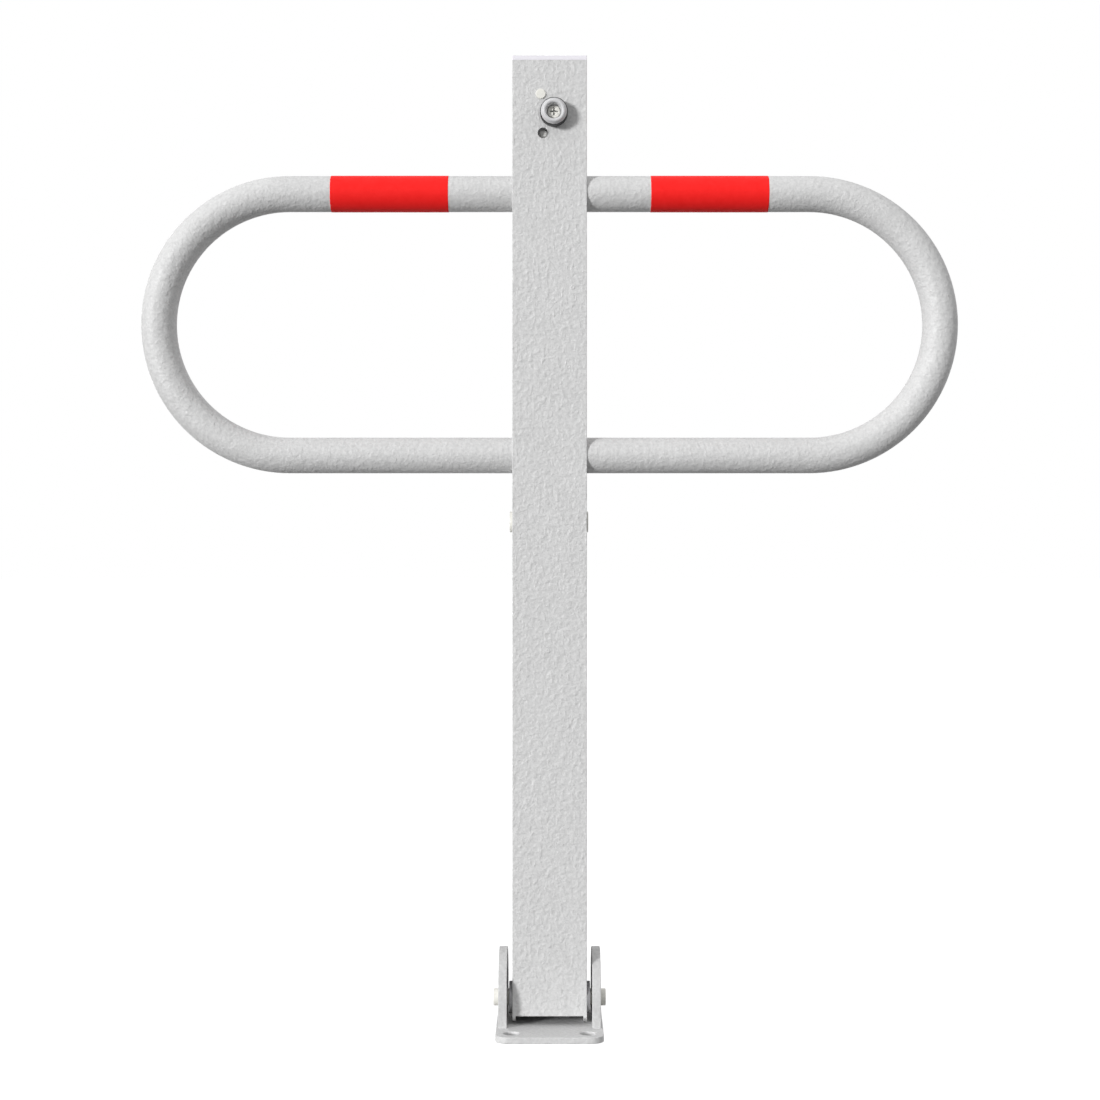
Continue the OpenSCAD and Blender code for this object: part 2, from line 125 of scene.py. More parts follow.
class Graph:
    """A node tree being filled, with short calls for the nodes that the finishes use."""

    def __init__(self, tree: bpy.types.NodeTree) -> None:
        """Starts from an empty tree.

        Args:
            tree: the material's or the group's own tree.
        """
        self.tree = tree
        tree.nodes.clear()

    def node(self, kind: str, **settings: object) -> bpy.types.Node:
        """Adds a node.

        Args:
            kind: the node's type name.
            settings: properties to set on it.

        Returns:
            The new node.
        """
        made = self.tree.nodes.new(kind)
        for name, value in settings.items():
            setattr(made, name, value)
        return made

    def link(self, source: Socket, target: Socket) -> None:
        """Joins an output to an input."""
        self.tree.links.new(source, target)

    def feed(self, target: Socket, value: object) -> None:
        """Gives an input a link or a plain value.

        Args:
            target: the input socket.
            value: an output socket, a number or a tuple.
        """
        if isinstance(value, bpy.types.NodeSocket):
            self.link(value, target)
        else:
            target.default_value = value

    def maths(self, operation: str, a: object, b: object = 0.0, c: object = 0.0) -> Socket:
        """Adds a Math node.

        Args:
            operation: what it does.
            a: first value, a socket or a number.
            b: second value.
            c: third value.

        Returns:
            Its result.
        """
        made = self.node("ShaderNodeMath", operation=operation)
        for target, value in zip(made.inputs, (a, b, c)):
            self.feed(target, value)
        return made.outputs[0]

    def noise(self, where: object, scale: object, detail: float, twist: float) -> Socket:
        """Adds a Noise Texture and returns its value, around 0.5.

        Args:
            where: the coordinates.
            scale: features per metre.
            detail: octaves.
            twist: distortion, which makes the features worm-like.

        Returns:
            The noise value.
        """
        made = self.node("ShaderNodeTexNoise")
        self.feed(made.inputs["Vector"], where)
        self.feed(made.inputs["Scale"], scale)
        made.inputs["Detail"].default_value = detail
        made.inputs["Roughness"].default_value = 0.55
        made.inputs["Distortion"].default_value = twist
        return made.outputs["Fac"]

    def beads(self, where: object, scale: float) -> Socket:
        """Adds sparse rings, one in a cell at most, as drops leave that sank in the middle.

        With d the distance to the cell's own point, a ring is soft(d, 0.02, 0.06) - soft(d, 0.06, 0.12),
        and it stands only where the cell's random number is high.

        Args:
            where: the coordinates.
            scale: cells per metre.

        Returns:
            The rings' height, from 0 to 1.
        """
        cells = self.node("ShaderNodeTexVoronoi", feature="F1", voronoi_dimensions="3D")
        self.feed(cells.inputs["Vector"], where)
        cells.inputs["Scale"].default_value = scale
        parts = self.node("ShaderNodeSeparateColor")
        self.link(cells.outputs["Color"], parts.inputs[0])
        away = cells.outputs["Distance"]
        ring = self.maths("SUBTRACT", self.soft(away, 0.02, 0.06), self.soft(away, 0.06, 0.12))
        return self.maths("MULTIPLY", ring, self.soft(parts.outputs[0], 0.45, 0.85))

    def spread(self, value: Socket, low: float, high: float, to_low: float, to_high: float) -> Socket:
        """Maps a value from one range to another and holds it there.

        Args:
            value: the value.
            low: start of its range.
            high: end of its range.
            to_low: what low becomes.
            to_high: what high becomes.

        Returns:
            The mapped value.
        """
        made = self.node("ShaderNodeMapRange", clamp=True)
        for target, number in zip(made.inputs, (value, low, high, to_low, to_high)):
            self.feed(target, number)
        return made.outputs[0]

    def soft(self, value: Socket, low: float, high: float) -> Socket:
        """Turns a value into a mask that rises in a soft step.

        Args:
            value: the value.
            low: where the mask starts to rise.
            high: where it reaches 1.

        Returns:
            The mask.
        """
        made = self.node("ShaderNodeMapRange", clamp=True, interpolation_type="SMOOTHSTEP")
        for target, number in zip(made.inputs, (value, low, high, 0.0, 1.0)):
            self.feed(target, number)
        return made.outputs[0]

    def weighed(self, *parts: tuple[Socket, float]) -> Socket:
        """Adds values, each times its own weight.

        Args:
            parts: pairs of a value and its weight.

        Returns:
            The sum.
        """
        total: object = 0.0
        for value, weight in parts:
            total = self.maths("MULTIPLY_ADD", value, weight, total)
        return total

    def between(self, mask: Socket, first: Colour, second: Colour) -> Socket:
        """Mixes two colours by a mask.

        Args:
            mask: 0 for the first colour, 1 for the second.
            first: the first colour.
            second: the second colour.

        Returns:
            The mixed colour.
        """
        made = self.node("ShaderNodeMix", data_type="RGBA")
        self.link(mask, made.inputs["Factor"])
        made.inputs["A"].default_value = (*first, 1.0)
        made.inputs["B"].default_value = (*second, 1.0)
        return made.outputs["Result"]


def open_group(name: str, inputs: dict[str, str], outputs: dict[str, str]) -> tuple[Graph, dict, dict]:
    """Starts a shader group with named inputs and outputs.

    Args:
        name: the group's name.
        inputs: name to socket type.
        outputs: name to socket type.

    Returns:
        The group's graph, its inputs as sockets to read, and its outputs as sockets to feed.
    """
    tree = bpy.data.node_groups.new(name, "ShaderNodeTree")
    for label, kind in inputs.items():
        tree.interface.new_socket(label, in_out="INPUT", socket_type=kind)
    for label, kind in outputs.items():
        tree.interface.new_socket(label, in_out="OUTPUT", socket_type=kind)
    graph = Graph(tree)
    entry = graph.node("NodeGroupInput")
    leave = graph.node("NodeGroupOutput")
    return graph, {n: entry.outputs[n] for n in inputs}, {n: leave.inputs[n] for n in outputs}


def dipped_skin_group() -> bpy.types.NodeTree:
    """Skin of dipped zinc: a soft swell with sparse drops, short runs and a few rings, and mottled tone.

    Height is 0.46 swell + 0.24 drops + 0.24 runs + 0.06 tooth + 0.5 rings. The swell is noise eased at both
    ends; drops and runs are the peaks of finer noise, and the runs are drawn out along the piece. Tone is
    0.2 clouds + 0.55 mottle + 0.25 specks.

    Returns:
        The shader group.
    """
    graph, given, out = open_group(
        "dipped_skin",
        {"Vector": "NodeSocketVector", "Stretch": "NodeSocketVector", "Grain": "NodeSocketFloat"},
        {"Tone": "NodeSocketFloat", "Height": "NodeSocketFloat"},
    )
    place, grain = given["Vector"], given["Grain"]
    laid = graph.node("ShaderNodeVectorMath", operation="MULTIPLY")
    graph.link(place, laid.inputs[0])
    graph.link(given["Stretch"], laid.inputs[1])
    finer = {share: graph.maths("MULTIPLY", grain, share) for share in (1.5, 1.7, 2.6, 4.2)}
    swell = graph.soft(graph.noise(place, grain, 1.0, 0.25), 0.30, 0.72)
    drops = graph.soft(graph.noise(place, finer[1.7], 0.0, 0.2), 0.55, 0.80)
    runs = graph.soft(graph.noise(laid.outputs[0], finer[1.5], 0.0, 0.3), 0.55, 0.80)
    tooth = graph.noise(place, finer[4.2], 1.0, 0.0)
    clouds = graph.noise(place, 22.0, 3.0, 0.6)
    mottle = graph.noise(place, finer[1.5], 1.0, 0.5)
    specks = graph.noise(place, finer[2.6], 0.0, 0.0)
    rings = graph.beads(place, 42.0)
    height = graph.weighed((swell, 0.46), (drops, 0.24), (runs, 0.24), (tooth, 0.06), (rings, 0.5))
    graph.link(height, out["Height"])
    tone = graph.weighed((clouds, 0.2), (mottle, 0.55), (specks, 0.25))
    graph.link(graph.spread(tone, 0.36, 0.64, 0.0, 1.0), out["Tone"])
    return graph.tree


def tooling_group() -> bpy.types.NodeTree:
    """Fine tool marks: noise that is stretched hard one way, with faint stains.

    Returns:
        The shader group.
    """
    graph, given, out = open_group(
        "tooling",
        {"Vector": "NodeSocketVector", "Stretch": "NodeSocketVector", "Lines": "NodeSocketFloat"},
        {"Tone": "NodeSocketFloat", "Height": "NodeSocketFloat"},
    )
    laid = graph.node("ShaderNodeVectorMath", operation="MULTIPLY")
    graph.link(given["Vector"], laid.inputs[0])
    graph.link(given["Stretch"], laid.inputs[1])
    lines = graph.noise(laid.outputs[0], given["Lines"], 2.0, 0.0)
    stains = graph.noise(given["Vector"], 120.0, 3.0, 0.8)
    tone = graph.maths("ADD", graph.maths("MULTIPLY", lines, 0.4), graph.maths("MULTIPLY", stains, 0.6))
    graph.link(lines, out["Height"])
    graph.link(graph.spread(tone, 0.3, 0.7, 0.0, 1.0), out["Tone"])
    return graph.tree


@dataclass(frozen=True)
class Finish:
    """One surface finish, as the record names it.

    Attributes:
        name: what the finish is called.
        slot: the record's material slot; not used.
        dark: base colour where the tone is low.
        light: base colour where the tone is high.
        metallic: 0 for paint and plastic, towards 1 for bare metal.
        smooth: roughness where the tone is high.
        rough: roughness where the tone is low.
        relief: depth of the skin's relief, in metres.
        size: features per metre of the skin's pattern.
        stretch: how each direction's coordinates are scaled before the pattern.
        group: name of the shader group that makes the pattern.
        pattern: what the pattern is laid along.
        coat: clear layer on top, from 0 to 1.
        specular: strength of the surface's own gloss.
    """

    name: str
    slot: str
    dark: Colour
    light: Colour
    metallic: float
    smooth: float
    rough: float
    relief: float
    size: float
    stretch: Colour = (1.0, 1.0, 1.0)
    group: str = "tooling"
    pattern: Pattern = Pattern.OBJECT
    coat: float = 0.0
    specular: float = 0.5

    def material(self) -> bpy.types.Material:
        """Builds the finish's material, once.

        Returns:
            The material.
        """
        label = f"{self.name}_finish"
        if label in bpy.data.materials:
            return bpy.data.materials[label]
        made = bpy.data.materials.new(label)
        made.use_nodes = True
        made.diffuse_color = (*self.light, 1.0)
        graph = Graph(made.node_tree)
        if self.pattern is Pattern.OBJECT:
            place = graph.node("ShaderNodeTexCoord").outputs["Object"]
        else:
            place = graph.node("ShaderNodeAttribute", attribute_name=self.pattern.value).outputs["Vector"]
        skin = graph.node("ShaderNodeGroup", node_tree=bpy.data.node_groups[self.group])
        graph.link(place, skin.inputs["Vector"])
        skin.inputs["Stretch"].default_value = self.stretch
        skin.inputs[2].default_value = self.size
        bump = graph.node("ShaderNodeBump")
        bump.inputs["Strength"].default_value = 1.0
        bump.inputs["Distance"].default_value = self.relief
        graph.link(skin.outputs["Height"], bump.inputs["Height"])
        shader = graph.node("ShaderNodeBsdfPrincipled")
        graph.link(graph.between(skin.outputs["Tone"], self.dark, self.light), shader.inputs["Base Color"])
        gloss = graph.spread(skin.outputs["Tone"], 0, 1, self.rough, self.smooth)
        graph.link(gloss, shader.inputs["Roughness"])
        graph.link(bump.outputs["Normal"], shader.inputs["Normal"])
        shader.inputs["Metallic"].default_value = self.metallic
        shader.inputs["Specular IOR Level"].default_value = self.specular
        shader.inputs["Coat Weight"].default_value = self.coat
        shader.inputs["Coat Roughness"].default_value = 0.12
        graph.link(shader.outputs[0], graph.node("ShaderNodeOutputMaterial").inputs["Surface"])
        return made


GALVANISED_POST = Finish(
    "galvanised_post", "galvanised_steel", (0.595, 0.595, 0.595), (0.685, 0.685, 0.685), 0.04, 0.50, 0.62,
    0.00062, 205.0, stretch=(1.0, 1.0, 0.4), group="dipped_skin", specular=0.3,
)
GALVANISED_RUN = Finish(
    "galvanised_run", "galvanised_steel", (0.595, 0.595, 0.595), (0.685, 0.685, 0.685), 0.04, 0.50, 0.62,
    0.00054, 205.0, stretch=(1.0, 0.6, 0.6), group="dipped_skin", pattern=Pattern.RUN, specular=0.22,
)
# A lighter copy of the galvanised finish: painted light on the plate's top and front.
GALVANISED_PLATE_LIT = Finish(
    "galvanised_plate_lit", "galvanised_steel", (0.62, 0.62, 0.62), (0.70, 0.70, 0.70), 0.04, 0.52, 0.64,
    0.00034, 210.0, stretch=(0.9, 0.9, 0.7), group="dipped_skin", specular=0.3,
)
# A darker copy of the galvanised finish: painted shade on the ears, standing in for weaker light from above.
GALVANISED_EAR_SHADED = Finish(
    "galvanised_ear_shaded", "galvanised_steel", (0.56, 0.56, 0.56), (0.64, 0.64, 0.64), 0.04, 0.52, 0.64,
    0.00040, 200.0, stretch=(0.9, 0.9, 0.5), group="dipped_skin", specular=0.25,
)
BRIGHT_ZINC = Finish(
    "bright_zinc", "bright_zinc", (0.80, 0.79, 0.74), (0.86, 0.85, 0.80), 0.04, 0.36, 0.48,
    0.00003, 700.0, (0.3, 0.3, 1.0), specular=0.4,
)
DULLED_ZINC = Finish(
    "dulled_zinc", "bright_zinc", (0.60, 0.60, 0.58), (0.69, 0.69, 0.67), 0.04, 0.40, 0.52,
    0.00003, 700.0, specular=0.4,
)
# A darker zinc for the screw's sunk cross: painted shade in the recess.
RECESS_SHADE_ZINC = Finish(
    "recess_shade_zinc", "bright_zinc", (0.44, 0.44, 0.42), (0.54, 0.54, 0.52), 0.0, 0.55, 0.70,
    0.00003, 700.0, specular=0.2,
)
KNOB_ZINC = Finish(
    "knob_zinc", "knob_zinc", (0.59, 0.59, 0.60), (0.65, 0.65, 0.66), 0.03, 0.38, 0.50,
    0.00004, 900.0, (1.0, 0.15, 1.0), specular=0.38,
)
# Dark steel: partly the parts' own bare steel colour, partly painted shade on the washers and under and
# inside the post.
BARE_STEEL_AND_SHADE = Finish(
    "bare_steel", "bare_steel", (0.22, 0.22, 0.23), (0.36, 0.36, 0.37), 0.35, 0.42, 0.58,
    0.00003, 500.0, (1.0, 1.0, 0.08), specular=0.4,
)
# Near-black steel: partly the parts' own blackened finish, partly painted shade under and inside the post.
BLACKENED_AND_SHADE = Finish(
    "blackened_steel_and_shade", "hardened_steel", (0.10, 0.10, 0.11), (0.20, 0.20, 0.21), 0.4, 0.45, 0.6,
    0.00003, 500.0, specular=0.3,
)
BRONZE = Finish(
    "bearing_bronze", "bearing_bronze", (0.50, 0.33, 0.14), (0.66, 0.46, 0.22), 0.9, 0.28, 0.42,
    0.00003, 800.0,
)
BLACK_PLASTIC = Finish(
    "black_plastic", "black_plastic", (0.018, 0.018, 0.019), (0.03, 0.03, 0.032), 0.0, 0.42, 0.55,
    0.00005, 1500.0, specular=0.3,
)
RED_FILM = Finish(
    "red_film", "red_film", (0.95, 0.014, 0.013), (1.0, 0.020, 0.019), 0.0, 0.52, 0.60,
    0.00001, 160.0, specular=0.14,
)
CAP_PLASTIC = Finish(
    "cap_plastic", "cap_plastic", (0.86, 0.84, 0.895), (0.89, 0.87, 0.925), 0.0, 0.55, 0.66,
    0.00001, 900.0, specular=0.15,
)

# Mesh work


def unit_rows(vectors: np.ndarray) -> np.ndarray:
    """Scales every row to length 1."""
    return vectors / np.maximum(np.linalg.norm(vectors, axis=1, keepdims=True), 1e-12)


def eased(corners: np.ndarray, ease: np.ndarray, steps: int = 6, closed: bool = False) -> np.ndarray:
    """Rounds the corners of a profile.

    Each corner p becomes a quadratic curve from p + e(a - p) to p + e(b - p), where a and b are its
    neighbours' directions as unit vectors and e is the corner's ease: (1-t)^2 s + 2t(1-t) p + t^2 q.

    Args:
        corners: the profile's corners, one row each.
        ease: how far along each side the rounding starts, one for each corner.
        steps: points on each rounded corner.
        closed: whether the last corner joins the first.

    Returns:
        The rounded profile, one row a point.
    """
    before = np.roll(corners, 1, axis=0) - corners
    after = np.roll(corners, -1, axis=0) - corners
    ease = np.array(ease, float)
    if not closed:
        ease[[0, -1]] = 0.0
    start = corners + unit_rows(before) * ease[:, None]
    end = corners + unit_rows(after) * ease[:, None]
    t = np.linspace(0, 1, steps)[None, :, None]
    curve = (1 - t) ** 2 * start[:, None] + 2 * t * (1 - t) * corners[:, None] + t**2 * end[:, None]
    return curve.reshape(-1, corners.shape[1])


def grid_faces(rows: int, columns: int, closed: bool) -> np.ndarray:
    """Corner numbers of the quads on a grid whose columns close on themselves.

    Args:
        rows: rows of points.
        columns: points in a row.
        closed: whether the last row joins the first.

    Returns:
        One row of four point numbers a quad.
    """
    r, c = np.meshgrid(np.arange(rows if closed else rows - 1), np.arange(columns), indexing="ij")
    r, c = r.ravel(), c.ravel()
    below, right = (r + 1) % rows, (c + 1) % columns
    return np.stack([r * columns + c, r * columns + right, below * columns + right, below * columns + c], 1)


def tidy(piece: Piece, sharp_deg: float = 38.0) -> Piece:
    """Merges doubled points, turns every face outwards and shades smooth apart from sharp edges.

    Args:
        piece: the object whose mesh is tidied.
        sharp_deg: an edge that folds more than this stays sharp.

    Returns:
        The same object.
    """
    work = bmesh.new()
    work.from_mesh(piece.data)
    bmesh.ops.remove_doubles(work, verts=work.verts, dist=1e-7)
    bmesh.ops.dissolve_degenerate(work, dist=1e-8, edges=work.edges)
    bmesh.ops.recalc_face_normals(work, faces=work.faces)
    work.to_mesh(piece.data)
    work.free()
    piece.data.shade_smooth()
    piece.data.set_sharp_from_angle(angle=math.radians(sharp_deg))
    return piece


def piece_from(name: str, points: np.ndarray, faces: np.ndarray) -> Piece:
    """Makes an object at the origin from points and faces.

    Args:
        name: the object's name.
        points: one row of X, Y, Z a point.
        faces: one row of point numbers a face.

    Returns:
        The new object.
    """
    mesh = bpy.data.meshes.new(name)
    mesh.from_pydata(points.reshape(-1, 3).tolist(), [], faces.tolist())
    made = bpy.data.objects.new(name, mesh)
    bpy.context.scene.collection.objects.link(made)
    return made


def turned(name: str, profile: np.ndarray, origin: np.ndarray, along: Along, closed: bool = False,
           steps: int = ROUND_STEPS) -> Piece:
    """Turns a profile about an axis: point = origin + a * axis + r (cos f * u + sin f * v).

    Args:
        name: the object's name.
        profile: rows of radius and distance along the axis.
        origin: a point on the axis.
        along: the axis.
        closed: whether the profile closes on itself, as a ring's does.
        steps: points round the axis.

    Returns:
        The turned object.
    """
    u, v, axis = along.basis
    turn = np.linspace(0, 2 * np.pi, steps, endpoint=False)
    ring = np.cos(turn)[:, None] * u + np.sin(turn)[:, None] * v
    points = origin + profile[:, 1, None, None] * axis + profile[:, 0, None, None] * ring[None]
    return tidy(piece_from(name, points, grid_faces(len(profile), steps, closed)))


def round_outline(width: float, depth: float, radius: float, steps: int = 12) -> np.ndarray:
    """Outline of a rectangle with round corners, anticlockwise from the right front corner.

    Args:
        width: its size in X.
        depth: its size in Y.
        radius: radius of the corners.
        steps: points on each corner.

    Returns:
        Rows of X and Y.
    """
    quarter = np.linspace(0, np.pi / 2, steps)
    start = np.array([-1, 0, 1, 2])[:, None] * np.pi / 2
    angle = start + quarter[None]
    reach = np.array([width / 2 - radius, depth / 2 - radius])
    centre = np.array([(1, -1), (1, 1), (-1, 1), (-1, -1)]) * reach
    return (centre[:, None] + radius * np.stack([np.cos(angle), np.sin(angle)], -1)).reshape(-1, 2)


def circle_outline(x: float, y: float, radius: float, steps: int = 48) -> np.ndarray:
    """Outline of a hole, clockwise, so that its material side is on the same hand as an outer outline's."""
    turn = -np.linspace(0, 2 * np.pi, steps, endpoint=False)
    return np.stack([x + radius * np.cos(turn), y + radius * np.sin(turn)], 1)


def inset(outline: np.ndarray, distance: np.ndarray) -> np.ndarray:
    """Moves a closed outline into its material by several distances at once.

    At each point the move is the sum of the two sides' inward normals n, over 1 + their dot product,
    which keeps every side parallel to where it was.

    Args:
        outline: rows of X and Y.
        distance: how far to move in, one for each copy.

    Returns:
        An array of copies by points by 2.
    """
    side = unit_rows(np.roll(outline, -1, axis=0) - outline)
    normal = np.stack([-side[:, 1], side[:, 0]], 1)
    last = np.roll(normal, 1, axis=0)
    mitre = (normal + last) / (1 + (normal * last).sum(1, keepdims=True))
    return outline[None] + distance[:, None, None] * mitre[None]


def fill_ends(piece: Piece, through: np.ndarray, middle: float) -> None:
    """Closes a plate's two open faces between its outer loop and its holes' loops.

    Args:
        piece: the plate, open at both faces.
        through: direction of its thickness.
        middle: the height that parts the lower face's loops from the upper face's.
    """
    work = bmesh.new()
    work.from_mesh(piece.data)
    rim = [edge for edge in work.edges if edge.is_boundary]
    for upper in (False, True):
        loops = [edge for edge in rim if (np.dot(through, edge.verts[0].co) > middle) == upper]
        bmesh.ops.triangle_fill(work, use_beauty=True, edges=loops)
    work.to_mesh(piece.data)
    work.free()


def edged_plate(name: str, outlines: list[np.ndarray], low: float, high: float, ease: float,
                place: np.ndarray) -> Piece:
    """A flat plate with holes, whose edges are eased all round.

    Each outline carries a profile that comes in by ease at both faces in a quarter round, (e (1 - sin f),
    e (1 - cos f)); the faces are filled between the innermost loops.

    Args:
        name: the object's name.
        outlines: the outer outline first, anticlockwise, then the holes, clockwise.
        low: height of the lower face in the plate's own directions.
        high: height of the upper face.
        ease: radius of the eased edge.
        place: three rows, the directions in space of the plate's own X, Y and thickness.

    Returns:
        The plate.
    """
    quarter = np.linspace(0, np.pi / 2, 5)
    inwards = ease * (1 - np.sin(quarter))
    height = ease * (1 - np.cos(quarter))
    distance = np.concatenate([inwards, inwards[::-1]])
    level = np.concatenate([low + height, high - height[::-1]])
    points, faces, first = [], [], 0
    for outline in outlines:
        flat = inset(outline, distance)
        risen = np.broadcast_to(level[:, None, None], (*flat.shape[:2], 1))
        points.append((np.concatenate([flat, risen], -1) @ place).reshape(-1, 3))
        faces.append(grid_faces(len(distance), len(outline), False) + first)
        first += len(points[-1])
    made = piece_from(name, np.concatenate(points), np.concatenate(faces))
    fill_ends(made, place[2], (low + high) / 2)
    return tidy(made)


def refined_copy(name: str, node: Piece, ease: float) -> Piece:
    """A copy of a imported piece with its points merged, flat faces joined and edges eased.

    Args:
        name: the copy's name.
        node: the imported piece, which is left alone.
        ease: width of the eased edges.

    Returns:
        The copy.
    """
    mesh = node.data.copy()
    mesh.name = name
    mesh.materials.clear()
    made = bpy.data.objects.new(name, mesh)
    bpy.context.scene.collection.objects.link(made)
    work = bmesh.new()
    work.from_mesh(mesh)
    bmesh.ops.remove_doubles(work, verts=work.verts, dist=1e-6)
    bmesh.ops.dissolve_limit(work, angle_limit=math.radians(0.5), verts=work.verts, edges=work.edges)
    work.to_mesh(mesh)
    work.free()
    tidy(made)
    bevel = made.modifiers.new("eased", "BEVEL")
    bevel.width = ease
    bevel.segments = 2
    bevel.limit_method = "ANGLE"
    bevel.angle_limit = math.radians(50)
    bevel.harden_normals = False
    return made


def dress(piece: Piece, finish: Finish) -> Piece:
    """Puts a finish on every material slot of a piece.

    Args:
        piece: a new piece or a packed one.
        finish: the finish.

    Returns:
        The same piece.
    """
    material = finish.material()
    if piece.data.materials:
        for number in range(len(piece.data.materials)):
            piece.data.materials[number] = material
    else:
        piece.data.materials.append(material)
    return piece


def settle(piece: Piece, finish: Finish, body: str, *nodes: str) -> None:
    """Finishes a new piece: its material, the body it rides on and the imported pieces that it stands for.

    Its normals are weighed by face area, so that flat faces stay flat up to their eased edges.

    Args:
        piece: the new piece.
        finish: its finish.
        body: the body that it moves with.
        nodes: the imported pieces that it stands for.
    """
    dress(piece, finish)
    even = piece.modifiers.new("even_normals", "WEIGHTED_NORMAL")
    even.keep_sharp = True
    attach(piece, body)
    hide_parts(*nodes)
    LOG.info("%s stands for %s", piece.name, ", ".join(nodes))


def corners_of(node: str) -> tuple[np.ndarray, np.ndarray]:
    """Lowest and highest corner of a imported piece, as arrays."""
    low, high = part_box(node)
    return np.array(low), np.array(high)


# Sub-assemblies


@dataclass
class FootBracket:
    """The bolted plate, the two ears on it and the axle between them.

    Attributes:
        plate_corner: radius of the plate's corners.
        plate_ease: radius of the plate's edges.
        ear_ease: radius of the ears' edges.
        axle_chamfer: chamfer on the axle's ends.
        axle_bore: clearance hole for the axle, its radius.
    """

    plate_corner: float = 12 * MM
    plate_ease: float = 0.7 * MM
    ear_ease: float = 0.6 * MM
    axle_chamfer: float = 0.8 * MM
    axle_bore: float = 8.05 * MM

    def plate(self, record: dict) -> None:
        """Builds the plate with its four anchor holes.

        Args:
            record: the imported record, which holds the anchor holes' sizes.
        """
        low, high = corners_of("base_plate")
        holes = next(m["dims"] for m in record["mounts"] if m["name"] == "anchor_bolts")
        dx, dy, radius = (holes[k] * MM for k in ("spacing_x_mm", "spacing_y_mm", "hole_r_mm"))
        width, depth, _ = high - low
        outlines = [round_outline(width, depth, self.plate_corner)]
        outlines += [circle_outline(sx * dx / 2, sy * dy / 2, radius) for sx in (-1, 1) for sy in (-1, 1)]
        made = edged_plate("anchor_plate", outlines, low[2], high[2], self.plate_ease, np.eye(3))
        # The plate takes the lighter galvanised copy, as painted light.
        settle(made, GALVANISED_PLATE_LIT, "base", "base_plate")

    def ear(self, side: Side) -> None:
        """Builds one ear: a foot as wide as its half-round top, with the axle's hole.

        Args:
            side: which ear.
        """
        node = f"ear_{side.word}"
        low, high = corners_of(node)
        axle_low, axle_high = corners_of("pivot_axle")
        axle = (axle_low + axle_high) / 2
        radius = (high[1] - low[1]) / 2
        turn = np.linspace(0, np.pi, 72)
        top = np.stack([radius * np.cos(turn), high[2] - radius + radius * np.sin(turn)], 1)
        outline = np.concatenate([[(-radius, low[2]), (radius, low[2])], top])
        hole = circle_outline(axle[1], axle[2], self.axle_bore)
        place = np.array([(0, 1, 0), (0, 0, 1), (1, 0, 0)], float)
        made = edged_plate(f"pivot_{node}", [outline, hole], low[0], high[0], self.ear_ease, place)
        # The ears take the darker galvanised copy, as painted shade.
        settle(made, GALVANISED_EAR_SHADED, "base", node)

    def axle(self) -> None:
        """Builds the plain axle with its chamfered ends."""
        low, high = corners_of("pivot_axle")
        middle, half, radius = (low + high) / 2, (high[0] - low[0]) / 2, (high[2] - low[2]) / 2
        corners = np.array([(0, -half), (radius, -half), (radius, half), (0, half)])
        profile = eased(corners, [0, self.axle_chamfer, self.axle_chamfer, 0], 4)
        settle(turned("pivot_pin", profile, middle, Along.RIGHT), BRIGHT_ZINC, "base", "pivot_axle")

    def washer(self, side: Side) -> None:
        """Builds the washer on one side of the post.

        Args:
            side: which washer.
        """
        node = f"washer_{side.word}"
        low, high = corners_of(node)
        middle, half, radius = (low + high) / 2, (high[0] - low[0]) / 2, (high[2] - low[2]) / 2
        bore = self.axle_bore
        corners = np.array([(bore, -half), (radius, -half), (radius, half), (bore, half)])
        profile = eased(corners, np.full(4, 0.35 * MM), 4, closed=True)
        made = turned(f"spacer_{node}", profile, middle, Along.RIGHT, closed=True)
        # Dark steel on the washer: partly its own colour, partly painted shade between the post and the ears.
        settle(made, BARE_STEEL_AND_SHADE, "base", node)

    def build(self, frame: dict) -> None:
        """Builds the whole bracket.
        """
        self.plate(frame["record"])
        self.axle()
        for side in Side:
            self.ear(side)
            self.washer(side)
        # The keeper block is near black, partly painted shade under the post.
        dress(frame["nodes"]["keeper_block"], BLACKENED_AND_SHADE)


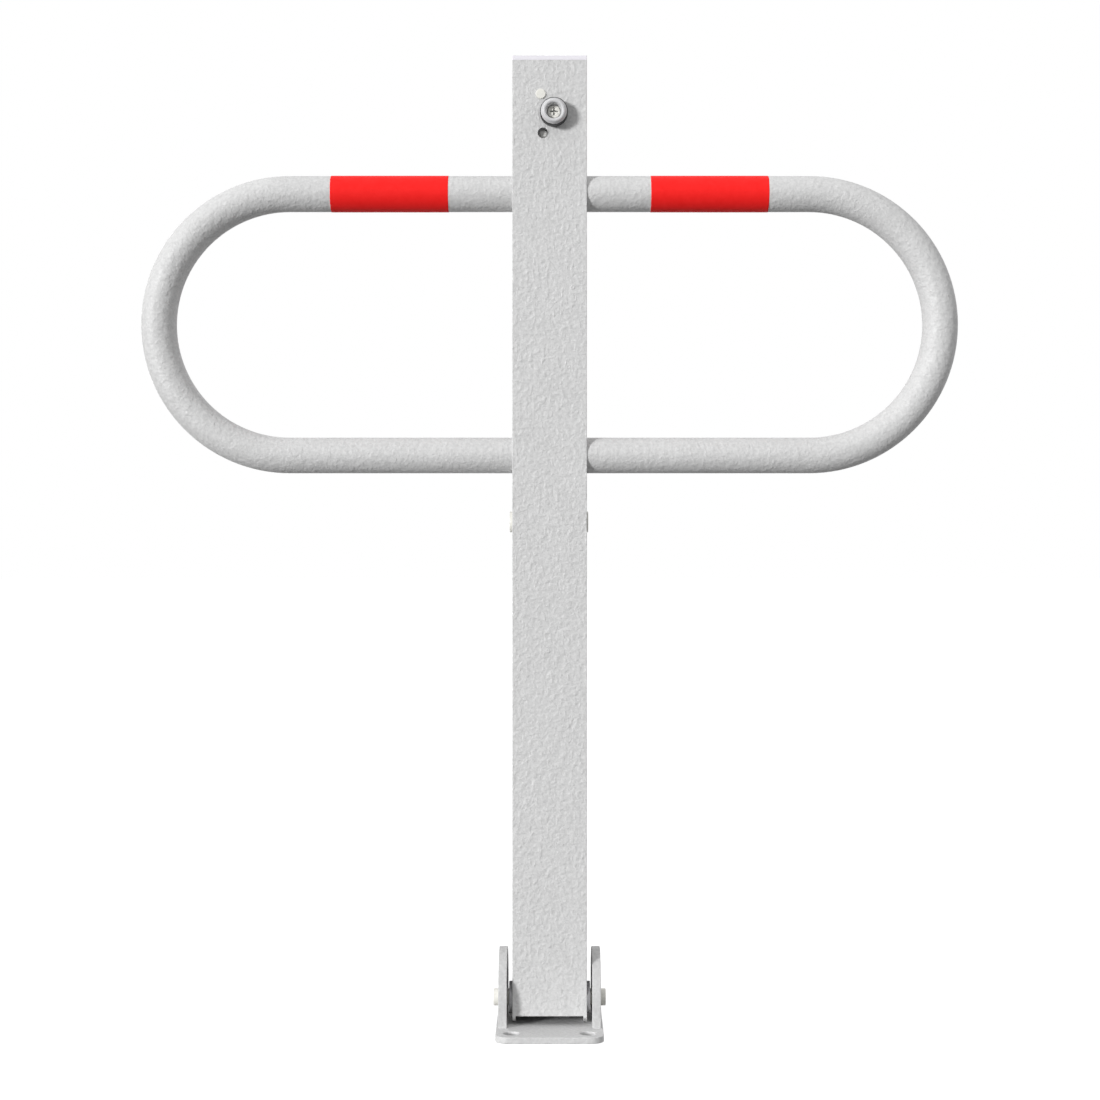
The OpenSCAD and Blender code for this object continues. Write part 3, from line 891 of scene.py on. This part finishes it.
@dataclass
class Hoop:
    """One bent tube with its red band.

    Attributes:
        side: which side of the post it is on.
        wall: wall of the tube.
        flattening: how much the bend's section is flattened in the plane of the bend, as a share.
        film: thickness of the film.
        lap: how wide the film overlaps itself at the back.
    """

    side: Side
    wall: float = 2.6 * MM
    flattening: float = 0.012
    film: float = 0.3 * MM
    lap: float = 9 * MM

    def centreline(self) -> tuple[np.ndarray, np.ndarray, np.ndarray, float]:
        """The tube's middle line, from the post along the upper run, round the bend and back.

        Returns:
            Points, outward directions in the bend's plane, the share of bending at each point, and the
            tube's radius.
        """
        low, high = corners_of(f"hoop_{self.side.word}")
        radius = (high[1] - low[1]) / 2
        y = (high[1] + low[1]) / 2
        top, bottom = high[2] - radius, low[2] + radius
        bend = (top - bottom) / 2
        reach = max(abs(high[0]), abs(low[0])) - radius - bend
        start = min(abs(high[0]), abs(low[0]))
        turn = np.linspace(np.pi / 2, -np.pi / 2, 65)
        run = np.linspace(start, reach, 28)[:-1]
        x = np.concatenate([run, reach + bend * np.cos(turn), run[::-1]])
        z = np.concatenate([np.full(27, top), (top + bottom) / 2 + bend * np.sin(turn), np.full(27, bottom)])
        nx = np.concatenate([np.zeros(27), np.cos(turn), np.zeros(27)])
        nz = np.concatenate([np.ones(27), np.sin(turn), -np.ones(27)])
        points = np.stack([self.side.value * x, np.full_like(x, y), z], 1)
        outward = np.stack([self.side.value * nx, np.zeros_like(nx), nz], 1)
        return points, outward, nx**2, radius

    def tube(self) -> None:
        """Builds the tube: a ring carried along the middle line, out on its skin and back on its bore.

        point = c + r ((1 - f b) cos a * n + sin a * y), with c and n from the middle line, b the share of
        bending and f the flattening. The skin pattern's place is (metres along, r cos a, r sin a), which
        closes on itself round the tube.
        """
        points, outward, bending, radius = self.centreline()
        turn = np.linspace(0, 2 * np.pi, ROUND_STEPS, endpoint=False)
        squeeze = 1 - self.flattening * bending
        across = squeeze[:, None, None] * np.cos(turn)[None, :, None] * outward[:, None]
        through = np.sin(turn)[None, :, None] * np.array([0, 1.0, 0])
        ring = across + through
        skin = points[:, None] + radius * ring
        bore = points[:, None] + (radius - self.wall) * ring
        surface = np.concatenate([skin, bore[::-1]])
        faces = grid_faces(len(surface), ROUND_STEPS, True)
        made = piece_from(f"hoop_tube_{self.side.word}", surface, faces)
        length = np.concatenate([[0], np.cumsum(np.linalg.norm(np.diff(points, axis=0), axis=1))])
        wound = radius * np.stack([np.cos(turn), np.sin(turn)], 1)
        place = np.empty((len(points), ROUND_STEPS, 3), np.float32)
        place[..., 0] = length[:, None]
        place[..., 1:] = wound[None]
        layer = made.data.attributes.new(Pattern.RUN.value, "FLOAT_VECTOR", "POINT")
        layer.data.foreach_set("vector", np.concatenate([place, place[::-1]]).ravel())
        settle(tidy(made), GALVANISED_RUN, "post", f"hoop_{self.side.word}")

    def band(self) -> None:
        """Builds the red film: a sleeve whose radius grows by one more film over the lap at the back.

        radius(a) = r + t (1 + s(a)), where s rises from 0 to 1 across the lap's edge.
        """
        low, high = corners_of(f"band_{self.side.word}")
        middle = (low + high) / 2
        outer = (high[2] - low[2]) / 2
        inner = outer - self.film
        half = (high[0] - low[0]) / 2
        steps = 144
        turn = np.linspace(0, 2 * np.pi, steps, endpoint=False)
        back = (turn - np.pi / 2) * outer
        lapped = ((back >= 0) & (back <= self.lap)) * self.film * 0.9
        edge, flat = half - 0.2 * MM, half - 1.2 * MM
        along = np.array([-half, -half, -edge, -flat, 0, flat, edge, half, half])
        lift = np.array([0, 0.6, 1, 1, 1, 1, 1, 0.6, 0])
        radius = inner + lift[:, None] * (self.film + lapped[None])
        radius = np.concatenate([radius, np.full((2, steps), inner)])
        along = np.concatenate([along, [half, -half]])
        ring = np.stack([np.zeros_like(turn), np.sin(turn), np.cos(turn)], 1)
        points = middle + radius[..., None] * ring[None] + along[:, None, None] * np.array([1.0, 0, 0])
        made = tidy(piece_from(f"red_film_{self.side.word}", points, grid_faces(len(along), steps, True)), 50)
        settle(made, RED_FILM, "post", f"band_{self.side.word}")

    def build(self) -> None:
        """Builds the tube and its band."""
        self.tube()
        self.band()


@dataclass
class Post:
    """The square post, its cap and the pin through it.

    Attributes:
        corner: radius of the post's corners.
        edge_ease: width of the eased cut edges.
        lip: height of the cap's lip.
        cap_ease: radius of the cap's top edge.
        plug_share: the plug's size as a share of the cap's.
        plug_wall_share: the plug's inner size as a share of the cap's.
    """

    corner: float = 0.5 * MM
    edge_ease: float = 0.25 * MM
    lip: float = 4 * MM
    cap_ease: float = 0.1 * MM
    plug_share: float = 63.8 / 70
    plug_wall_share: float = 58.8 / 70

    def tube(self, node: Piece) -> None:
        """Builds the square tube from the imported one, with eased cut edges.

        Args:
            node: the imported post.
        """
        made = refined_copy("square_post", node, self.edge_ease)
        settle(made, GALVANISED_POST, "post", "post_tube")

    def cap(self) -> None:
        """Builds the cap: a rounded square carried through a profile of shares and heights.

        point = (share * outline, height), so the top closes at its middle and the plug hangs below.
        """
        low, high = corners_of("end_cap")
        half = (high[0] - low[0]) / 2
        seat = high[2] - self.lip
        plug, bore = self.plug_share * half, self.plug_wall_share * half
        corners = np.array([
            (0, high[2]), (half, high[2]), (half, seat), (plug, seat), (plug, low[2]), (bore, low[2]),
            (bore, seat - 1 * MM), (0, seat - 1 * MM),
        ])
        ease = np.array([0, self.cap_ease, 0.3 * MM, 0.1 * MM, 0.6 * MM, 0.3 * MM, 0.5 * MM, 0])
        profile = eased(corners, ease, 6)
        outline = round_outline(2 * half, 2 * half, self.corner) / half
        flat = profile[:, 0, None, None] * outline[None]
        level = np.broadcast_to(profile[:, 1, None, None], (*flat.shape[:2], 1))
        points = np.concatenate([flat, level], -1)
        made = piece_from("cap_moulding", points, grid_faces(len(profile), len(outline), False))
        settle(tidy(made), CAP_PLASTIC, "post", "end_cap")

    def cross_pin(self) -> None:
        """Builds the pin with its head on the left and the clip on its right end."""
        low, high = corners_of("cross_pin")
        clip_low, clip_high = corners_of("pin_clip")
        post_low, _ = corners_of("post_tube")
        head = (high[2] - low[2]) / 2
        centre = np.array([0, (low[1] + high[1]) / 2, (low[2] + high[2]) / 2])
        shank, stub = 7 * MM, 4 * MM
        corners = np.array([
            (0, low[0]), (head, low[0]), (head, post_low[0]), (shank, post_low[0]),
            (shank, clip_low[0]), (stub, clip_low[0]), (stub, clip_high[0]), (0, clip_high[0]),
        ])
        ease = np.array([0, 0.9, 0.2, 0, 0, 0, 0.4, 0]) * MM
        made = turned("through_pin", eased(corners, ease, 5), centre, Along.RIGHT)
        settle(made, BRIGHT_ZINC, "post", "cross_pin")
        ring = np.array([
            (stub, clip_low[0]), (head, clip_low[0]), (head, clip_high[0]), (stub, clip_high[0]),
        ])
        ease = np.array([0, 0.2, 0.7, 0.3]) * MM
        made = turned("through_pin_clip", eased(ring, ease, 5, closed=True), centre, Along.RIGHT, closed=True)
        settle(made, BRIGHT_ZINC, "post", "pin_clip")

    def build(self, frame: dict) -> None:
        """Builds the post and dresses the plates and bushes welded inside it.
        """
        nodes = frame["nodes"]
        self.tube(nodes["post_tube"])
        self.cap()
        self.cross_pin()
        plates = ("guide_plate_lower", "guide_plate_upper", "bearing_plate")
        # The bush and inner plates take the dark steel, partly painted shade under the post.
        for name in ("pivot_bush", *plates, "pin_sleeve_left", "pin_sleeve_right"):
            dress(nodes[name], BARE_STEEL_AND_SHADE)


def bar_mask(distance: np.ndarray, half: np.ndarray | float) -> np.ndarray:
    """Mask of a bar, 1 within half of its middle line and falling to 0 over a narrow edge."""
    return np.clip((half - np.abs(distance)) / (0.16 * MM) + 0.5, 0, 1)


@dataclass
class Lock:
    """The knob, its screw, the stop pin, the spare hole's plug and the works inside.

    Attributes:
        bore_depth: depth of the knob's hollow.
        bore: radius of the hollow at its bottom.
        crest: radius of the rim's crest from the knob's middle.
        crest_round: radius that the crest is rounded to.
        flank_deg: slope of the rim's outer flank.
        mouth_deg: slope of the hollow's wall.
        hub: radius of the spindle's hole.
        screw_hole: radius of the screw's hole.
        web: thickness of the knob's web.
        sleeve_wall: wall of the black sleeve.
        dome: rise of the screw head's dome.
        recess_depth: depth of the screw's cross.
        recess_half: half the width of the cross's arms.
        recess_reach: how far the arms reach from the middle.
        recess_turn_deg: how far the cross is turned.
        plug_edge: height of the plug's straight edge.
        plug_face: radius of the plug's flat face.
        plug_drop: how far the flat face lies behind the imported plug's front.
    """

    bore_depth: float = 9 * MM
    bore: float = 6.3 * MM
    crest: float = 9.15 * MM
    crest_round: float = 1.8 * MM
    flank_deg: float = 58.0
    mouth_deg: float = 82.0
    hub: float = 6 * MM
    screw_hole: float = 2.5 * MM
    web: float = 2 * MM
    sleeve_wall: float = 2 * MM
    dome: float = 1.2 * MM
    recess_depth: float = 2.4 * MM
    recess_half: float = 0.68 * MM
    recess_reach: float = 3.5 * MM
    recess_turn_deg: float = 0.0
    plug_edge: float = 0.6 * MM
    plug_face: float = 2.9 * MM
    plug_drop: float = 0.9 * MM

    def knob(self) -> None:
        """Builds the knob's metal cup: a rounded crest between two flanks, and a skirt under the sleeve.

        The crest is an arc, (c + q sin f, z + q cos f), with f from the hollow's slope to the flank's.
        """
        low, high = corners_of("knob")
        sleeve_low, sleeve_high = corners_of("knob_sleeve")
        radius = (high[0] - low[0]) / 2
        skirt = (sleeve_high[0] - sleeve_low[0]) / 2 - self.sleeve_wall
        centre = np.array([(low[0] + high[0]) / 2, 0, (low[2] + high[2]) / 2])
        front, back, shoulder = -low[1], -high[1], -sleeve_low[1]
        floor = front - self.bore_depth
        flank = math.radians(self.flank_deg)
        turn = np.linspace(-math.radians(self.mouth_deg), flank, 29)
        arc = self.crest_round * np.stack([np.sin(turn), np.cos(turn) - 1], 1)
        crest = np.array([self.crest, front]) + arc
        foot = crest[-1, 1] - (radius - crest[-1, 0]) * math.tan(flank)
        seat = np.array([(self.screw_hole, floor), (self.bore, floor)])
        rest = np.array([
            (radius, max(foot, shoulder + 0.05 * MM)), (radius, shoulder), (skirt, shoulder), (skirt, back),
            (self.hub, back), (self.hub, floor - self.web), (self.screw_hole, floor - self.web),
        ])
        corners = np.concatenate([seat, crest, rest])
        ease = np.zeros(len(corners))
        ease[[1, len(seat) + len(crest)]] = (0.5 * MM, 0.02 * MM)
        made = turned("lock_knob_cup", eased(corners, ease, 5, closed=True), centre, Along.FRONT, closed=True)
        settle(made, KNOB_ZINC, "lock_knob", "knob")

    def sleeve(self) -> None:
        """Builds the black grip sleeve behind the rim, with eased edges."""
        low, high = corners_of("knob_sleeve")
        radius = (high[0] - low[0]) / 2
        inner = radius - self.sleeve_wall
        centre = np.array([(low[0] + high[0]) / 2, 0, (low[2] + high[2]) / 2])
        corners = np.array([(inner, -low[1]), (radius, -low[1]), (radius, -high[1]), (inner, -high[1])])
        ease = np.array([0.1, 0.5, 0.4, 0.1]) * MM
        profile = eased(corners, ease, 6, closed=True)
        made = turned("knob_grip_sleeve", profile, centre, Along.FRONT, closed=True)
        settle(made, BLACK_PLASTIC, "lock_knob", "knob_sleeve")

    def screw(self) -> None:
        """Builds the screw: a pan head with a sunk cross, and a plain shank.

        The head is a height over the plane, h = top - (R - sqrt(R^2 - r^2)) - depth * cross(x, y), where
        the cross is the larger of two bars' soft-edged masks; it is set out on rings that run on down the
        side and the shank.
        """
        low, high = corners_of("knob_screw")
        radius = (high[0] - low[0]) / 2
        knob_low, _ = corners_of("knob")
        centre = np.array([(low[0] + high[0]) / 2, 0, (low[2] + high[2]) / 2])
        seat = -knob_low[1] - self.bore_depth
        top = -low[1]
        shoulder = top - self.dome
        curve = (radius**2 + self.dome**2) / (2 * self.dome)
        inner = self.recess_reach * 1.08
        ring = np.concatenate([np.linspace(0, inner, 40), np.linspace(inner * 1.04, 0.95 * radius, 10)])
        turn = np.linspace(0, 2 * np.pi, 216, endpoint=False)
        u, v = ring[:, None] * np.cos(turn), ring[:, None] * np.sin(turn)
        skew = math.radians(self.recess_turn_deg)
        a, b = u * math.cos(skew) - v * math.sin(skew), u * math.sin(skew) + v * math.cos(skew)
        taper = self.recess_half * (1.15 - 0.3 * ring[:, None] / self.recess_reach)
        reach = self.recess_reach
        cross = np.maximum(bar_mask(a, taper) * bar_mask(b, reach), bar_mask(b, taper) * bar_mask(a, reach))
        level = top - (curve - np.sqrt(curve**2 - ring[:, None] ** 2)) - self.recess_depth * cross
        edge = np.array([
            (radius * 0.985, shoulder - 0.05 * MM), (radius, shoulder - 0.25 * MM), (radius, seat),
            (self.screw_hole, seat), (self.screw_hole, -high[1]), (0, -high[1]),
        ])
        grid = np.stack([u, v, level], -1)
        skirt = np.stack([edge[:, 0, None] * np.cos(turn), edge[:, 0, None] * np.sin(turn),
                          np.broadcast_to(edge[:, 1, None], (len(edge), len(turn)))], -1)
        points = centre + np.concatenate([grid, skirt]) @ Along.FRONT.basis
        made = piece_from("pan_head_screw", points, grid_faces(len(points), len(turn), False))
        # The sunk cross's faces get a second, darker zinc: painted shade in the recess.
        sunk = np.concatenate([(cross[:-1] + cross[1:]).ravel() > 0.4, np.zeros(len(edge) * len(turn), bool)])
        made.data.polygons.foreach_set("material_index", sunk.astype(np.int32))
        settle(tidy(made, 46), BRIGHT_ZINC, "lock_knob", "knob_screw")
        made.data.materials.append(RECESS_SHADE_ZINC.material())

    def plug(self) -> None:
        """Builds the plug in the spare hole: a flat face that slopes away to a straight edge."""
        low, high = corners_of("spare_plug")
        radius = (high[0] - low[0]) / 2
        centre = np.array([(low[0] + high[0]) / 2, 0, (low[2] + high[2]) / 2])
        face, back = -low[1] - self.plug_drop, -high[1]
        corners = np.array([
            (0, face), (self.plug_face, face), (radius, back + self.plug_edge), (radius, back), (0, back),
        ])
        profile = eased(corners, np.array([0, 0.5, 0.2, 0, 0]) * MM, 5)
        settle(turned("spare_hole_plug", profile, centre, Along.FRONT), DULLED_ZINC, "post", "spare_plug")

    def stop_pin(self) -> None:
        """Builds the stop pin with an eased front edge."""
        low, high = corners_of("stop_pin")
        radius = (high[0] - low[0]) / 2
        centre = np.array([(low[0] + high[0]) / 2, 0, (low[2] + high[2]) / 2])
        corners = np.array([(0, -low[1]), (radius, -low[1]), (radius, -high[1]), (0, -high[1])])
        profile = eased(corners, np.array([0, 0.5, 0.3, 0]) * MM, 5)
        settle(turned("wall_stop_pin", profile, centre, Along.FRONT), BRIGHT_ZINC, "post", "stop_pin")

    def build(self, frame: dict) -> None:
        """Builds the lock and dresses the works inside the post.
        """
        self.knob()
        self.sleeve()
        self.screw()
        self.stop_pin()
        self.plug()
        # The works inside the post take dark finishes, partly painted shade in the post's hollow.
        inside = {
            "spindle": BARE_STEEL_AND_SHADE, "crank_disc": BLACKENED_AND_SHADE, "lift_pin": BLACKENED_AND_SHADE, "spindle_bush": BRONZE,
            "locking_bar": BARE_STEEL_AND_SHADE, "lock_bolt": BRIGHT_ZINC, "spring_collar": BARE_STEEL_AND_SHADE,
            "return_spring": BRIGHT_ZINC, "yoke_plate": BLACKENED_AND_SHADE,
        }
        for name, finish in inside.items():
            dress(frame["nodes"][name], finish)


# Camera, floor and light


@dataclass
class Studio:
    """A pale floor, a white surround, one sun and a soft sky.

    Attributes:
        eye: where the camera stands.
        focal_px: focal length in pixels of the 1100 pixel picture.
        picture_px: the picture's width in pixels.
        centre_px: where the post's middle falls across the picture.
        sun_way: the direction that the sun's light travels in.
        sun_strength: the sun's strength.
        sun_spread_deg: angle across the sun's disc.
        sky_top: brightness of the sky overhead.
        sky_side: brightness at the horizon.
        sky_right: how much brighter the sky grows towards the right.
        floor_colour: what the floor bounces.
        floor_glow: how white the floor looks by itself to the camera.
    """

    eye: tuple[float, float, float] = (0.0, -2.0, 0.452)
    focal_px: float = 2094.0
    picture_px: float = 1100.0
    centre_px: float = 549.6
    sun_way: tuple[float, float, float] = (1.03, 1.0, -0.28)
    sun_strength: float = 2.7
    sun_spread_deg: float = 12.0
    sky_top: float = 0.88
    sky_side: float = 0.19
    sky_right: float = 0.3
    floor_colour: Colour = (0.22, 0.22, 0.22)
    floor_glow: float = 0.95

    def camera(self) -> None:
        """Sets the camera level at the picture's own eye height."""
        data = bpy.data.cameras.new("camera")
        data.sensor_width = 36.0
        data.lens = 36.0 * self.focal_px / self.picture_px
        data.shift_x = (self.picture_px / 2 - self.centre_px) / self.picture_px
        data.clip_start, data.clip_end = 0.05, 100.0
        made = bpy.data.objects.new("camera", data)
        made.location = self.eye
        made.rotation_euler = (math.pi / 2, 0, 0)
        bpy.context.scene.collection.objects.link(made)
        bpy.context.scene.camera = made

    def sun(self) -> None:
        """Sets the sun's direction, strength and spread."""
        data = bpy.data.lights.new("sun", "SUN")
        data.energy = self.sun_strength
        data.angle = math.radians(self.sun_spread_deg)
        made = bpy.data.objects.new("sun", data)
        way = np.array(self.sun_way)
        made.rotation_mode = "QUATERNION"
        made.rotation_quaternion = Vector(way).to_track_quat("-Z", "Y")
        bpy.context.scene.collection.objects.link(made)

    def sky(self) -> None:
        """Makes the surround: a soft sky for lighting, plain white for what the camera and gloss see."""
        world = bpy.data.worlds.new("surround")
        bpy.context.scene.world = world
        world.use_nodes = True
        graph = Graph(world.node_tree)
        split = graph.node("ShaderNodeSeparateXYZ")
        graph.link(graph.node("ShaderNodeTexCoord").outputs["Generated"], split.inputs[0])
        up = graph.spread(split.outputs["Z"], 0.0, 1.0, self.sky_side, self.sky_top)
        right = graph.spread(split.outputs["X"], 0.0, 1.0, 0.0, self.sky_right)
        light = graph.node("ShaderNodeBackground")
        light.inputs["Color"].default_value = (1, 1, 1, 1)
        graph.link(graph.maths("ADD", up, right), light.inputs["Strength"])
        seen = graph.node("ShaderNodeBackground")
        seen.inputs["Color"].default_value = (1, 1, 1, 1)
        path = graph.node("ShaderNodeLightPath").outputs
        direct = graph.maths("MAXIMUM", path["Is Camera Ray"], path["Is Transmission Ray"])
        mix = graph.node("ShaderNodeMixShader")
        graph.link(graph.maths("MAXIMUM", direct, path["Is Glossy Ray"]), mix.inputs[0])
        graph.link(light.outputs[0], mix.inputs[1])
        graph.link(seen.outputs[0], mix.inputs[2])
        graph.link(mix.outputs[0], graph.node("ShaderNodeOutputWorld").inputs["Surface"])

    def floor(self) -> None:
        """Lays the floor: a wide plane that bounces like pale concrete and looks nearly white."""
        half = 30.0
        points = np.array([(-half, -half, 0), (half, -half, 0), (half, half, 0), (-half, half, 0)])
        made = piece_from("floor", points, np.array([[0, 1, 2, 3]]))
        material = bpy.data.materials.new("floor")
        material.use_nodes = True
        graph = Graph(material.node_tree)
        plain = graph.node("ShaderNodeBsdfDiffuse")
        plain.inputs["Color"].default_value = (*self.floor_colour, 1)
        glow = graph.node("ShaderNodeEmission")
        glow.inputs["Strength"].default_value = self.floor_glow
        both = graph.node("ShaderNodeAddShader")
        graph.link(plain.outputs[0], both.inputs[0])
        graph.link(glow.outputs[0], both.inputs[1])
        path = graph.node("ShaderNodeLightPath").outputs
        direct = graph.maths("MAXIMUM", path["Is Camera Ray"], path["Is Transmission Ray"])
        mix = graph.node("ShaderNodeMixShader")
        graph.link(graph.maths("MAXIMUM", direct, path["Is Glossy Ray"]), mix.inputs[0])
        graph.link(plain.outputs[0], mix.inputs[1])
        graph.link(both.outputs[0], mix.inputs[2])
        graph.link(mix.outputs[0], graph.node("ShaderNodeOutputMaterial").inputs["Surface"])
        made.data.materials.append(material)

    def build(self) -> None:
        """Builds the camera, light and floor, and sets the plain view transform."""
        self.camera()
        self.sun()
        self.sky()
        self.floor()
        bpy.context.scene.view_settings.view_transform = "Standard"


def main() -> None:
    """Loads the frame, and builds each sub-assembly and the studio."""
    logging.basicConfig(level=logging.INFO, format="%(name)s: %(message)s")
    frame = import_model()
    dipped_skin_group()
    tooling_group()
    Studio().build()
    FootBracket().build(frame)
    Post().build(frame)
    for side in Side:
        Hoop(side).build()
    Lock().build(frame)


if __name__ == "__main__":
    main()
